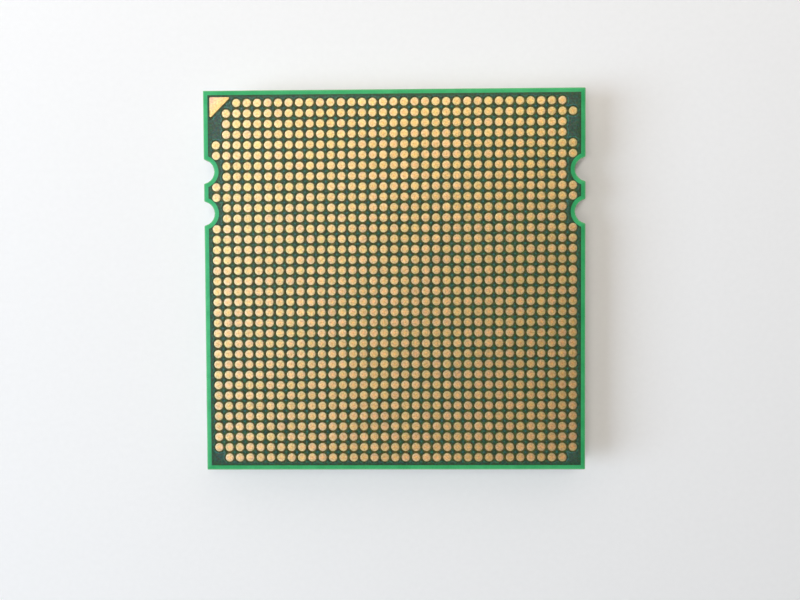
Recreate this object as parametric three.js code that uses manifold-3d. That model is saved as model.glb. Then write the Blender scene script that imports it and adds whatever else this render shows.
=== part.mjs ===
// Lidded land-grid-array processor, resting on its metal lid with the contact face up.
// Millimetres, +Z up. The origin is on the axis of the package, on the plane that the lid rests on.
// +X and +Y run along the package edges, and the pin-one corner is at -X, +Y.
import * as THREE from "three";
import { mergeVertices } from "three/addons/utils/BufferGeometryUtils.js";
import Module from "manifold-3d";

const wasm = await Module();
wasm.setup();

// ---- Driving dimensions -------------------------------------------------------------------

// Package outline: a square board with two half-round keying notches on each of its X edges.
const PACKAGE_SIDE = 40;
const PACKAGE_CORNER_RADIUS = 0.08;
const NOTCH_RADIUS = 1.27;
const NOTCH_CENTRE_OUTSIDE = 0.18; // how far the notch's centre lies outside the edge
const NOTCH_MOUTH_RADIUS = 0.15; // rounding where the notch meets the edge
const COPPER_INSET = 0.45; // bare laminate left round the edge of every copper layer

// Land grid.
const LAND_PITCH = 1.1;
const LAND_DIAMETER = 0.85;
const GRID_COUNT = 35;
const LAND_SHEET_THICKNESS = 0.01;
const LAND_HEIGHT = 0.03; // from the solder mask to the contact plane

// Each keying notch replaces the edge lands of two neighbouring rows. Rows count from 1 at +Y.
const NOTCH_ROWS = [7, 11];

// Layers of the board, from the die side to the land side.
const MASK_THICKNESS = 0.025;
const BUILDUP_THICKNESS = 0.12;
const PLANE_THICKNESS = 0.03;
const CORE_THICKNESS = 0.8;

// Heat-spreading lid.
const LID_SIDE = 37.3;
const LID_CORNER_RADIUS = 1.2;
const LID_HEIGHT = 3.2;
const PLATEAU_SIDE = 33;
const PLATEAU_CORNER_RADIUS = 2;
const PLATEAU_HEIGHT = 1.3;
const LID_EDGE_RADIUS = 0.25;
const CAVITY_SIDE = 30;
const CAVITY_CORNER_RADIUS = 2;
const CAVITY_DEPTH = 0.95;

// Adhesive bead between the lid's rim and the board, with a gap left as a vent.
const BEAD_THICKNESS = 0.2;
const BEAD_WIDTH = 2.4;
const BEAD_SETBACK = 0.6; // from the lid's outer edge
const VENT_WIDTH = 3;

// Die stack.
const DIE_LENGTH = 17;
const DIE_WIDTH = 13.4;
const DIE_THICKNESS = 0.78;
const BUMP_HEIGHT = 0.07;
const BUMP_FIELD_SETBACK = 0.3; // from the die's edge
const THERMAL_SETBACK = 0.1; // from the die's edge
const UNDERFILL_REACH = 1; // how far the fillet runs out over the board
const UNDERFILL_HEIGHT = 0.55;
const UNDERFILL_CREST = 0.15; // width of the fillet at its top
const UNDERFILL_CLEARANCE = 0.02;

// Ceramic capacitors round the die: a body between two slightly proud metal terminals.
const CAP_LENGTH = 2;
const CAP_WIDTH = 1.25;
const CAP_HEIGHT = 0.55;
const TERMINAL_LENGTH = 0.35;
const TERMINAL_PROUD = 0.02;
const CAP_ROW_COUNT = 6;
const CAP_ROW_PITCH = 3.2;
const CAP_ROWS_Y = [9.6, 12.6];
const CAP_COLUMN_COUNT = 4;
const CAP_COLUMN_PITCH = 3.2;
const CAP_COLUMN_X = 12.4;

// Pin-one marker: a right triangle at the corner where the two outermost land positions are unused.
const MARKER_LEG_LAND_SIDE = 2.2;
const MARKER_LEG_DIE_SIDE = 1.6;
const MARKER_SETBACK_LAND_SIDE = 0.68; // from the package edges to the triangle's legs
const MARKER_SETBACK_DIE_SIDE = 0.25;

// Divisions of each arc.
const FINE_ARC_SEGMENTS = 6;
const SMALL_ARC_SEGMENTS = 2;
const NOTCH_ARC_SEGMENTS = 10;
const BEVEL_SEGMENTS = 2;
const SHARPEST_RADIUS = 0.02; // stands for a sharp corner, so that every outline has the same arcs

// ---- Heights ------------------------------------------------------------------------------

const LID_Z = 0;
const BEAD_Z = LID_Z + LID_HEIGHT;
const DIE_SIDE_MASK_Z = BEAD_Z + BEAD_THICKNESS;
const DIE_SIDE_BUILDUP_Z = DIE_SIDE_MASK_Z + MASK_THICKNESS;
const CORE_Z = DIE_SIDE_BUILDUP_Z + BUILDUP_THICKNESS;
const LAND_SIDE_BUILDUP_Z = CORE_Z + CORE_THICKNESS;
const LAND_SIDE_MASK_Z = LAND_SIDE_BUILDUP_Z + BUILDUP_THICKNESS;
const LANDS_Z = LAND_SIDE_MASK_Z + MASK_THICKNESS;
const BUMPS_Z = DIE_SIDE_MASK_Z - BUMP_HEIGHT;
const DIE_Z = BUMPS_Z - DIE_THICKNESS;
const CAVITY_CEILING_Z = LID_Z + LID_HEIGHT - CAVITY_DEPTH;

// ---- Materials ----------------------------------------------------------------------------

function material(color, roughness, metalness) {
  return new THREE.MeshStandardMaterial({ color, roughness, metalness });
}

const NICKEL = material(0xb4b5b3, 0.35, 1);
const GOLD = material(0xe6bd7e, 0.4, 1);
const COPPER = material(0xb87a56, 0.4, 1);
const SOLDER = material(0xc3c6c8, 0.4, 1);
const SOLDER_MASK = material(0x3c6a52, 0.4, 0);
const LAMINATE = material(0x8f9a5c, 0.6, 0);
const BUILDUP_RESIN = material(0x4d6b48, 0.6, 0);
const SILICONE = material(0x2c2c30, 0.8, 0);
const EPOXY = material(0x22303f, 0.3, 0);
const SILICON = material(0x4b4f58, 0.2, 0);
const CAP_CERAMIC = material(0x8c6f54, 0.5, 0);

// ---- Solids and booleans ------------------------------------------------------------------

/** A closed geometry as a manifold-3d solid. */
function solidFrom(geometry) {
  const bare = geometry.clone();
  bare.deleteAttribute("normal");
  bare.deleteAttribute("uv");
  const merged = mergeVertices(bare, 1e-5);
  return new wasm.Manifold(
    new wasm.Mesh({
      numProp: 3,
      vertProperties: merged.attributes.position.array,
      triVerts: new Uint32Array(merged.index.array),
    }),
  );
}

/** A manifold-3d solid as a three.js geometry. */
function geometryFrom(solid) {
  const { numProp, numVert, vertProperties, triVerts } = solid.getMesh();
  const positions = new Float32Array(numVert * 3);
  for (let i = 0; i < numVert; i++) {
    positions.set(vertProperties.subarray(i * numProp, i * numProp + 3), i * 3);
  }
  const geometry = new THREE.BufferGeometry();
  geometry.setAttribute("position", new THREE.BufferAttribute(positions, 3));
  geometry.setIndex(new THREE.BufferAttribute(triVerts, 1));
  geometry.computeVertexNormals();
  return geometry;
}

/** A flat plate: the shape extruded by a thickness from z = bottom, with square edges. */
function plate(shape, thickness, bottom = 0) {
  const geometry = new THREE.ExtrudeGeometry(shape, { depth: thickness, bevelEnabled: false });
  return geometry.translate(0, 0, bottom);
}

/** A square plate with rounded corners, its edges rounded at both faces too. */
function roundedPlate(side, cornerRadius, thickness, bottom = 0) {
  const shape = roundedSquare(side - 2 * LID_EDGE_RADIUS, cornerRadius - LID_EDGE_RADIUS);
  const geometry = new THREE.ExtrudeGeometry(shape, {
    depth: thickness - 2 * LID_EDGE_RADIUS,
    bevelThickness: LID_EDGE_RADIUS,
    bevelSize: LID_EDGE_RADIUS,
    bevelSegments: BEVEL_SEGMENTS,
  });
  return geometry.translate(0, 0, bottom + LID_EDGE_RADIUS);
}

/** A box from its centre in plan, its size and the height of its underside. */
function box(x, y, length, width, height, bottom = 0) {
  return new THREE.BoxGeometry(length, width, height).translate(x, y, bottom + height / 2);
}

// ---- Outlines -----------------------------------------------------------------------------

/** Points along an arc between two angles, both ends included. */
function arcPoints(x, y, radius, start, end, segments) {
  return Array.from({ length: segments + 1 }, (_, i) => {
    const angle = start + ((end - start) * i) / segments;
    return new THREE.Vector2(x + radius * Math.cos(angle), y + radius * Math.sin(angle));
  });
}

/** A square with rounded corners, centred on the origin. */
function roundedSquare(side, radius) {
  const reach = side / 2 - radius;
  const corners = [
    [reach, reach],
    [-reach, reach],
    [-reach, -reach],
    [reach, -reach],
  ];
  return new THREE.Shape(
    corners.flatMap(([x, y], quarter) => {
      const start = (quarter * Math.PI) / 2;
      return arcPoints(x, y, radius, start, start + Math.PI / 2, FINE_ARC_SEGMENTS);
    }),
  );
}

/** Height in plan of the centre line of a row of lands. */
function rowY(row) {
  return ((GRID_COUNT + 1) / 2 - row) * LAND_PITCH;
}

/** Position along X of the centre line of a column of lands. */
function columnX(column) {
  return (column - (GRID_COUNT + 1) / 2) * LAND_PITCH;
}

/** A keying notch in the edge at +X, from its lower mouth corner to its upper one. */
function notchPoints(centreY, inset) {
  const edgeX = PACKAGE_SIDE / 2 - inset;
  const centreX = PACKAGE_SIDE / 2 + NOTCH_CENTRE_OUTSIDE;
  const radius = NOTCH_RADIUS + inset;
  const mouthRadius = Math.max(NOTCH_MOUTH_RADIUS - inset, SHARPEST_RADIUS);
  // Each mouth corner is an arc that touches both the straight edge and the notch.
  const mouthX = edgeX - mouthRadius;
  const mouthReach = Math.sqrt((radius + mouthRadius) ** 2 - (centreX - mouthX) ** 2);
  const touching = Math.atan2(mouthReach, centreX - mouthX);
  return [
    ...arcPoints(mouthX, centreY - mouthReach, mouthRadius, 0, touching, SMALL_ARC_SEGMENTS),
    ...arcPoints(
      centreX,
      centreY,
      radius,
      Math.PI + touching,
      Math.PI - touching,
      NOTCH_ARC_SEGMENTS,
    ).slice(1, -1),
    ...arcPoints(mouthX, centreY + mouthReach, mouthRadius, -touching, 0, SMALL_ARC_SEGMENTS),
  ];
}

/** The board's outline with its keying notches, taken in by inset all round. */
function packageOutline(inset = 0) {
  const radius = Math.max(PACKAGE_CORNER_RADIUS - inset, SHARPEST_RADIUS);
  const reach = PACKAGE_SIDE / 2 - inset - radius;
  const notchCentres = NOTCH_ROWS.map((row) => (rowY(row) + rowY(row + 1)) / 2);
  const corner = (x, y, start) =>
    arcPoints(x, y, radius, start, start + Math.PI / 2, SMALL_ARC_SEGMENTS);
  const rightEdge = [
    ...corner(reach, -reach, -Math.PI / 2),
    ...notchCentres.sort((a, b) => a - b).flatMap((y) => notchPoints(y, inset)),
    ...corner(reach, reach, 0),
  ];
  const leftEdge = rightEdge.map(({ x, y }) => new THREE.Vector2(-x, y)).reverse();
  return new THREE.Shape([...rightEdge, ...leftEdge]);
}

/** First and last column that hold a land in a row. */
function occupiedColumns(row) {
  const besideNotch = NOTCH_ROWS.some((first) => row === first || row === first + 1);
  if (besideNotch || row === 3 || row === 4) return [2, GRID_COUNT - 1];
  if (row === 1) return [3, GRID_COUNT - 1];
  if (row === 2) return [2, GRID_COUNT];
  if (row === GRID_COUNT) return [2, GRID_COUNT - 1];
  return [1, GRID_COUNT];
}

/** A right triangle with its square corner at (x, y) and its legs towards +X and -Y. */
function cornerTriangle(x, y, leg) {
  return new THREE.Shape([
    new THREE.Vector2(x, y - leg),
    new THREE.Vector2(x + leg, y),
    new THREE.Vector2(x, y),
  ]);
}

// ---- Lid, bead and die stack --------------------------------------------------------------

/** Stamped lid: a plateau that meets the heatsink, a lower flange, and a cavity over the die. */
function lidGeometry() {
  const flangeHeight = LID_HEIGHT - PLATEAU_HEIGHT;
  const flange = roundedPlate(LID_SIDE, LID_CORNER_RADIUS, flangeHeight, PLATEAU_HEIGHT);
  // The plateau runs up into the flange so that the two join as one body.
  const plateauHeight = PLATEAU_HEIGHT + 2 * LID_EDGE_RADIUS;
  const plateau = roundedPlate(PLATEAU_SIDE, PLATEAU_CORNER_RADIUS, plateauHeight);
  const cavity = plate(
    roundedSquare(CAVITY_SIDE, CAVITY_CORNER_RADIUS),
    2 * CAVITY_DEPTH,
    CAVITY_CEILING_Z,
  );
  return geometryFrom(
    solidFrom(flange).add(solidFrom(plateau)).subtract(solidFrom(cavity)),
  );
}

/** Adhesive bead: a square ring under the lid's rim, open at the vent. */
function beadGeometry() {
  const outerSide = LID_SIDE - 2 * BEAD_SETBACK;
  const outer = roundedSquare(outerSide, LID_CORNER_RADIUS);
  outer.holes.push(roundedSquare(outerSide - 2 * BEAD_WIDTH, CAVITY_CORNER_RADIUS));
  const ring = solidFrom(plate(outer, BEAD_THICKNESS));
  const ventCutter = box(0, -outerSide / 2, VENT_WIDTH, 3 * BEAD_WIDTH, BEAD_THICKNESS);
  ventCutter.scale(1, 1, 3).translate(0, 0, -BEAD_THICKNESS);
  return geometryFrom(ring.subtract(solidFrom(ventCutter)));
}

/** Underfill: a sloping fillet round the die, widest where it wets the board. */
function underfillGeometry() {
  const baseLength = DIE_LENGTH + 2 * UNDERFILL_REACH;
  const baseWidth = DIE_WIDTH + 2 * UNDERFILL_REACH;
  const crestLength = DIE_LENGTH + 2 * UNDERFILL_CREST;
  const crestWidth = DIE_WIDTH + 2 * UNDERFILL_CREST;
  const fillet = box(0, 0, baseLength, baseWidth, UNDERFILL_HEIGHT, -UNDERFILL_HEIGHT);
  const corners = fillet.attributes.position;
  for (let i = 0; i < corners.count; i++) {
    if (corners.getZ(i) < -UNDERFILL_HEIGHT / 2) {
      corners.setX(i, (corners.getX(i) * crestLength) / baseLength);
      corners.setY(i, (corners.getY(i) * crestWidth) / baseWidth);
    }
  }
  const dieSpace = box(
    0,
    0,
    DIE_LENGTH + 2 * UNDERFILL_CLEARANCE,
    DIE_WIDTH + 2 * UNDERFILL_CLEARANCE,
    3 * UNDERFILL_HEIGHT,
    -2 * UNDERFILL_HEIGHT,
  );
  return geometryFrom(solidFrom(fillet).subtract(solidFrom(dieSpace)));
}

// ---- Board layers -------------------------------------------------------------------------

/** Build-up resin with a pocket on its core side that the copper plane fills. */
function buildupGeometry(pocketBottom) {
  const layer = solidFrom(plate(packageOutline(), BUILDUP_THICKNESS));
  // The pocket's cutter runs past the face that it opens through.
  const overrun = pocketBottom === 0 ? -PLANE_THICKNESS : pocketBottom;
  const cutter = plate(packageOutline(COPPER_INSET), 2 * PLANE_THICKNESS, overrun);
  return geometryFrom(layer.subtract(solidFrom(cutter)));
}

/** The lands of each row joined into one bar, and the rows joined by a thin sheet. */
function landGridGeometry() {
  let grid = null;
  for (let row = 1; row <= GRID_COUNT; row++) {
    const [first, last] = occupiedColumns(row);
    const length = columnX(last) - columnX(first) + LAND_DIAMETER;
    const middle = (columnX(last) + columnX(first)) / 2;
    const bar = solidFrom(box(middle, rowY(row), length, LAND_DIAMETER, LAND_HEIGHT));
    const strip = solidFrom(box(middle, rowY(row), length, LAND_PITCH, LAND_SHEET_THICKNESS));
    const joined = bar.add(strip);
    grid = grid ? grid.add(joined) : joined;
  }
  return geometryFrom(grid);
}

// ---- Capacitors ---------------------------------------------------------------------------

/** A chip capacitor hanging from z = 0, its length along X, with proud terminals at its ends. */
function capacitorGeometry() {
  const body = box(
    0,
    0,
    CAP_LENGTH - TERMINAL_LENGTH,
    CAP_WIDTH - 2 * TERMINAL_PROUD,
    CAP_HEIGHT - 2 * TERMINAL_PROUD,
    TERMINAL_PROUD - CAP_HEIGHT,
  );
  const terminals = [-1, 1].map((end) => {
    const x = (end * (CAP_LENGTH - TERMINAL_LENGTH)) / 2;
    return solidFrom(box(x, 0, TERMINAL_LENGTH, CAP_WIDTH, CAP_HEIGHT, -CAP_HEIGHT));
  });
  return geometryFrom(solidFrom(body).add(terminals[0]).add(terminals[1]));
}

/** Places of the capacitors in plan: rows along X beyond the die's long sides, then columns. */
function capacitorPlaces() {
  const places = [];
  const along = (index, count, pitch) => (index - (count - 1) / 2) * pitch;
  for (const side of [1, -1]) {
    for (const y of CAP_ROWS_Y) {
      for (let i = 0; i < CAP_ROW_COUNT; i++) {
        places.push({ x: along(i, CAP_ROW_COUNT, CAP_ROW_PITCH), y: side * y, turn: 0 });
      }
    }
  }
  for (const side of [-1, 1]) {
    for (let i = 0; i < CAP_COLUMN_COUNT; i++) {
      const y = along(i, CAP_COLUMN_COUNT, CAP_COLUMN_PITCH);
      places.push({ x: side * CAP_COLUMN_X, y, turn: Math.PI / 2 });
    }
  }
  return places;
}

// ---- Assembly -----------------------------------------------------------------------------

/** A named mesh whose geometry's own z = 0 is placed at the given height. */
function piece(name, geometry, finish, height = 0) {
  const mesh = new THREE.Mesh(geometry, finish);
  mesh.name = name;
  mesh.position.z = height;
  return mesh;
}

/** A pin-one triangle, set back from the two package edges that meet at its corner. */
function markerGeometry(setback, leg, thickness) {
  const reach = PACKAGE_SIDE / 2 - setback;
  return plate(cornerTriangle(-reach, reach, leg), thickness);
}

function lidAssembly() {
  const group = new THREE.Group();
  const thermalThickness = DIE_Z - CAVITY_CEILING_Z;
  group.add(
    piece("heat_spreader_lid", lidGeometry(), NICKEL, LID_Z),
    piece("lid_adhesive_bead", beadGeometry(), SILICONE, BEAD_Z),
    piece(
      "thermal_interface_solder",
      box(0, 0, DIE_LENGTH - 2 * THERMAL_SETBACK, DIE_WIDTH - 2 * THERMAL_SETBACK, thermalThickness),
      SOLDER,
      CAVITY_CEILING_Z,
    ),
  );
  return group;
}

function dieAssembly() {
  const group = new THREE.Group();
  const bumpsLength = DIE_LENGTH - 2 * BUMP_FIELD_SETBACK;
  const bumpsWidth = DIE_WIDTH - 2 * BUMP_FIELD_SETBACK;
  group.add(
    piece("silicon_die", box(0, 0, DIE_LENGTH, DIE_WIDTH, DIE_THICKNESS), SILICON, DIE_Z),
    piece("solder_bump_layer", box(0, 0, bumpsLength, bumpsWidth, BUMP_HEIGHT), SOLDER, BUMPS_Z),
    piece("die_underfill", underfillGeometry(), EPOXY, DIE_SIDE_MASK_Z),
  );
  return group;
}

function boardAssembly() {
  const group = new THREE.Group();
  const mask = () => plate(packageOutline(), MASK_THICKNESS);
  const plane = () => plate(packageOutline(COPPER_INSET), PLANE_THICKNESS);
  const powerPlaneZ = CORE_Z - PLANE_THICKNESS;
  group.add(
    piece("solder_mask_die_side", mask(), SOLDER_MASK, DIE_SIDE_MASK_Z),
    piece(
      "buildup_resin_die_side",
      buildupGeometry(BUILDUP_THICKNESS - PLANE_THICKNESS),
      BUILDUP_RESIN,
      DIE_SIDE_BUILDUP_Z,
    ),
    piece("power_plane_copper", plane(), COPPER, powerPlaneZ),
    piece("board_core", plate(packageOutline(), CORE_THICKNESS), LAMINATE, CORE_Z),
    piece("ground_plane_copper", plane(), COPPER, LAND_SIDE_BUILDUP_Z),
    piece("buildup_resin_land_side", buildupGeometry(0), BUILDUP_RESIN, LAND_SIDE_BUILDUP_Z),
    piece("solder_mask_land_side", mask(), SOLDER_MASK, LAND_SIDE_MASK_Z),
  );
  return group;
}

function contactAssembly() {
  const group = new THREE.Group();
  group.add(
    piece("land_grid", landGridGeometry(), GOLD, LANDS_Z),
    piece(
      "pin_one_marker_land_side",
      markerGeometry(MARKER_SETBACK_LAND_SIDE, MARKER_LEG_LAND_SIDE, LAND_HEIGHT),
      GOLD,
      LANDS_Z,
    ),
    piece(
      "pin_one_marker_die_side",
      markerGeometry(MARKER_SETBACK_DIE_SIDE, MARKER_LEG_DIE_SIDE, LAND_HEIGHT),
      GOLD,
      DIE_SIDE_MASK_Z - LAND_HEIGHT,
    ),
  );
  return group;
}

function capacitorBank() {
  const group = new THREE.Group();
  group.position.z = DIE_SIDE_MASK_Z;
  const geometry = capacitorGeometry();
  capacitorPlaces().forEach(({ x, y, turn }, index) => {
    const number = String(index + 1).padStart(2, "0");
    const capacitor = piece(`decoupling_capacitor_${number}`, geometry, CAP_CERAMIC);
    capacitor.position.set(x, y, 0);
    capacitor.rotation.z = turn;
    group.add(capacitor);
  });
  return group;
}

const processor = new THREE.Group();
processor.add(
  lidAssembly(),
  dieAssembly(),
  boardAssembly(),
  contactAssembly(),
  capacitorBank(),
);

export default processor;
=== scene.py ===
import math
import random

import bpy
import numpy as np
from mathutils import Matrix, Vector
from mathutils.geometry import delaunay_2d_cdt


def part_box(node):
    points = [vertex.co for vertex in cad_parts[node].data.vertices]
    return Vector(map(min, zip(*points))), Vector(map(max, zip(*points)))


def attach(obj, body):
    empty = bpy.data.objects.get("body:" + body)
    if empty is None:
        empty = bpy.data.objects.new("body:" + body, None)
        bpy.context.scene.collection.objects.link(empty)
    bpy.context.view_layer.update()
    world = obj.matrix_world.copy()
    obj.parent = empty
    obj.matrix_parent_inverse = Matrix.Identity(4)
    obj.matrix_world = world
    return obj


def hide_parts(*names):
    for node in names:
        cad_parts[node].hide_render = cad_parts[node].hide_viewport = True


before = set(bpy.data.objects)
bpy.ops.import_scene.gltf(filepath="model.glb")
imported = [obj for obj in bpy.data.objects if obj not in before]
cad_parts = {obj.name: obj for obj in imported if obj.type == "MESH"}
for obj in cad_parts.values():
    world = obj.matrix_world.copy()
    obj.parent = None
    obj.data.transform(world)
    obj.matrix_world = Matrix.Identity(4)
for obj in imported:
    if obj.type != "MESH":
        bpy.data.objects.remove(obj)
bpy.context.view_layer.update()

# ---- Driving dimensions, in millimetres ----------------------------------------------------
# The package lies on its lid. +X and +Y run along its edges; the pin-one corner is at -X, +Y.

MM = 0.001

LAND_PITCH = 1.1
LAND_RADIUS = 0.425
LAND_SEGMENTS = 24
LAND_TILT = 0.0025  # spread of the lands' slopes
LAND_TILT_ROOM = 0.003  # left over a land's crown for its tilt
GRID_COUNT = 35
NOTCH_ROWS = (7, 11)  # each notch takes the place of the edge lands of this row and the next

NOTCH_RADIUS = 1.27
NOTCH_CENTRE_OUTSIDE = 0.18
NOTCH_MOUTH_RADIUS = 0.15
PACKAGE_CORNER_RADIUS = 0.08
SHARPEST_RADIUS = 0.02  # of a corner that an inset would make sharp
COPPER_INSET = 0.45

MASK_OPENING_RADIUS = 0.47
MASK_SEGMENTS = 16  # of a mask opening; a multiple of 8, so that a cell's corners get a vertex
MASK_DIP = 0.009  # the mask lies lower where there is no copper under it
CLEARANCE_RADIUS = 0.5  # of the hole in the copper plane round a land
CLEARANCE_SLOPE = 0.12  # width over which the mask climbs from that hole
CUT_CELL_RING_RADIUS = 0.53  # of a ring of vertices that shapes the slope in a cut cell
COPPER_EDGE_SLOPE = 0.03  # width over which the mask comes down at the copper's edge
BOARD_EDGE_ROUND = 0.02

LAND_SIDE_MARKER = (2.2, 0.68)  # leg, and distance from the board's edges
DIE_SIDE_MARKER = (1.6, 0.25)
MARKER_TIP_RADIUS = 0.1
MARKER_CLEARANCE = 0.04
GOLD_TINT_REACH = 0.1  # how far from the gold the mask takes on its warm tint

LID_CORNER_RADIUS = 1.2
PLATEAU_SIDE = 33.0
PLATEAU_CORNER_RADIUS = 2.0
PLATEAU_HEIGHT = 1.3
LID_EDGE_RADIUS = 0.25
CAVITY_SIDE = 30.0
CAVITY_CORNER_RADIUS = 2.0
CAVITY_DEPTH = 0.95
CAVITY_FLOOR_BEVEL = 0.2
CAVITY_MOUTH_BEVEL = 0.08
RIM_BEVEL = 0.1
BEAD_SETBACK = 0.6  # from the lid's outer edge
BEAD_WIDTH = 2.4
VENT_WIDTH = 3.0
BEAD_STEPS = 160
BEAD_WAVES = 8
BEAD_NARROWING = 0.12  # of each half of the bead, which leaves room for its waves
BEAD_BULGE = 0.05
TERMINAL_LENGTH = 0.35
TERMINAL_PROUD = 0.02
BODY_INSET = 0.1  # the ceramic body starts this far inside its ends
CAPACITOR_BEVEL = 0.05

FLOOR_REACH = 3000
FLOOR_GAP = 0.01  # between the floor and the lid that lies on it

SEED = 1207


def height_of(node, end=1):
    """Height of a CAD node's top, or of its bottom with end=0, in millimetres."""
    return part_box(node)[end].z / MM


HALF_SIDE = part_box("board_core")[1].x / MM
LID_HALF_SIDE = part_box("heat_spreader_lid")[1].x / MM
BOARD_TOP = height_of("solder_mask_land_side", 0)
MASK_TOP = height_of("solder_mask_land_side")
LANDS_TOP = height_of("land_grid")


# ---- Meshes --------------------------------------------------------------------------------

def mesh_piece(name, vertices, faces, materials, stands_for=(), smooth=True):
    """A piece of the object from vertices in millimetres; it rides on the one body."""
    mesh = bpy.data.meshes.new(name)
    mesh.from_pydata((np.asarray(vertices, float) * MM).tolist(), [], faces)
    mesh.update()
    for material in materials:
        mesh.materials.append(material)
    mesh.polygons.foreach_set("use_smooth", [smooth] * len(mesh.polygons))
    piece = bpy.data.objects.new(name, mesh)
    bpy.context.scene.collection.objects.link(piece)
    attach(piece, "root")
    if stands_for:
        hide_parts(*stands_for)
    return piece


def set_attribute(piece, name, values):
    """A number for each vertex, for the piece's material to read."""
    attribute = piece.data.attributes.new(name, "FLOAT", "POINT")
    attribute.data.foreach_set("value", np.asarray(values, np.float32))


def merge_vertices(vertices, faces):
    """Joins vertices that share a place, so that neighbouring patches are one surface."""
    keys = np.round(np.asarray(vertices), 5)
    _, first, inverse = np.unique(keys, axis=0, return_index=True, return_inverse=True)
    inverse = inverse.ravel()
    merged = [[int(inverse[i]) for i in face] for face in faces]
    return np.asarray(vertices)[first], merged


def arc(x, y, radius, start, end, segments):
    """Points along an arc between two angles, both ends included."""
    angles = np.linspace(start, end, segments + 1)
    return [(x + radius * math.cos(a), y + radius * math.sin(a)) for a in angles]


def turned_solid(profile, segments):
    """A closed solid turned about Z from (radius, height) points that start and end on the axis."""
    rings = profile[1:-1]
    angles = np.arange(segments) * (2 * math.pi / segments)
    vertices = [(0, 0, profile[0][1])]
    for radius, height in rings:
        vertices += [(radius * math.cos(a), radius * math.sin(a), height) for a in angles]
    vertices.append((0, 0, profile[-1][1]))
    faces = []
    last = len(vertices) - 1
    for i in range(segments):
        j = (i + 1) % segments
        faces.append((0, 1 + j, 1 + i))
        for ring in range(len(rings) - 1):
            low, high = 1 + ring * segments, 1 + (ring + 1) * segments
            faces.append((low + i, low + j, high + j, high + i))
        top = last - segments
        faces.append((top + i, top + j, last))
    return vertices, faces


def lofted_solid(loops):
    """A closed solid through loops of 3-D points, which all have the same number of points."""
    count = len(loops[0])
    vertices = [point for loop in loops for point in loop]
    faces = [tuple(reversed(range(count)))]
    for k in range(len(loops) - 1):
        low, high = k * count, (k + 1) * count
        for i in range(count):
            j = (i + 1) % count
            faces.append((low + i, low + j, high + j, high + i))
    top = (len(loops) - 1) * count
    faces.append(tuple(range(top, top + count)))
    return vertices, faces


# ---- Outlines of the package ---------------------------------------------------------------

def row_y(row):
    return ((GRID_COUNT + 1) / 2 - row) * LAND_PITCH


def column_x(column):
    return (column - (GRID_COUNT + 1) / 2) * LAND_PITCH


def occupied_columns(row):
    """First and last column that hold a land in a row; rows and columns count from 1."""
    beside_notch = any(row in (first, first + 1) for first in NOTCH_ROWS)
    if beside_notch or row in (3, 4):
        return 2, GRID_COUNT - 1
    if row == 1:
        return 3, GRID_COUNT - 1
    if row == 2:
        return 2, GRID_COUNT
    if row == GRID_COUNT:
        return 2, GRID_COUNT - 1
    return 1, GRID_COUNT


NOTCH_CENTRES_Y = sorted((row_y(row) + row_y(row + 1)) / 2 for row in NOTCH_ROWS)
NOTCH_CENTRE_X = HALF_SIDE + NOTCH_CENTRE_OUTSIDE


def notch_points(centre_y, inset, segments):
    """A notch in the +X edge, from its lower mouth corner to its upper one."""
    radius = NOTCH_RADIUS + inset
    mouth = max(NOTCH_MOUTH_RADIUS - inset, SHARPEST_RADIUS)
    mouth_x = HALF_SIDE - inset - mouth
    reach = math.sqrt((radius + mouth) ** 2 - (NOTCH_CENTRE_X - mouth_x) ** 2)
    touching = math.atan2(reach, NOTCH_CENTRE_X - mouth_x)
    start, end = math.pi + touching, math.pi - touching
    return (
        arc(mouth_x, centre_y - reach, mouth, 0, touching, 4)
        + arc(NOTCH_CENTRE_X, centre_y, radius, start, end, segments)[1:-1]
        + arc(mouth_x, centre_y + reach, mouth, -touching, 0, 4)
    )


def package_outline(inset):
    """The board's outline, anticlockwise, taken in by inset all round."""
    corner = max(PACKAGE_CORNER_RADIUS - inset, SHARPEST_RADIUS)
    reach = HALF_SIDE - inset - corner
    right = arc(reach, -reach, corner, -math.pi / 2, 0, 3)
    for centre_y in NOTCH_CENTRES_Y:
        right += notch_points(centre_y, inset, 20)
    right += arc(reach, reach, corner, 0, math.pi / 2, 3)
    return right + [(-x, y) for x, y in reversed(right)]


def copper_edge_distance(x, y):
    """How far a place lies inside the copper plane's edge; negative where there is no copper."""
    around_notches = [
        math.hypot(abs(x) - NOTCH_CENTRE_X, y - centre_y) - NOTCH_RADIUS - COPPER_INSET
        for centre_y in NOTCH_CENTRES_Y
    ]
    return min(HALF_SIDE - COPPER_INSET - max(abs(x), abs(y)), *around_notches)


def over_copper(x, y):
    return copper_edge_distance(x, y) > 0


LANDS = [
    (column_x(column), row_y(row))
    for row in range(1, GRID_COUNT + 1)
    for column in range(occupied_columns(row)[0], occupied_columns(row)[1] + 1)
]
OCCUPIED = {(round(x / LAND_PITCH), round(y / LAND_PITCH)) for x, y in LANDS}


def distances_to_lands(x, y):
    """Distances from a place to the centres of the lands in the nine grid positions round it."""
    column, row = round(x / LAND_PITCH), round(y / LAND_PITCH)
    return [
        math.hypot(x - (column + i) * LAND_PITCH, y - (row + j) * LAND_PITCH)
        for i in (-1, 0, 1)
        for j in (-1, 0, 1)
        if (column + i, row + j) in OCCUPIED
    ]


def land_distance(x, y):
    """Distance from a place to the centre of the nearest land."""
    return min(distances_to_lands(x, y), default=2 * LAND_PITCH)


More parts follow.
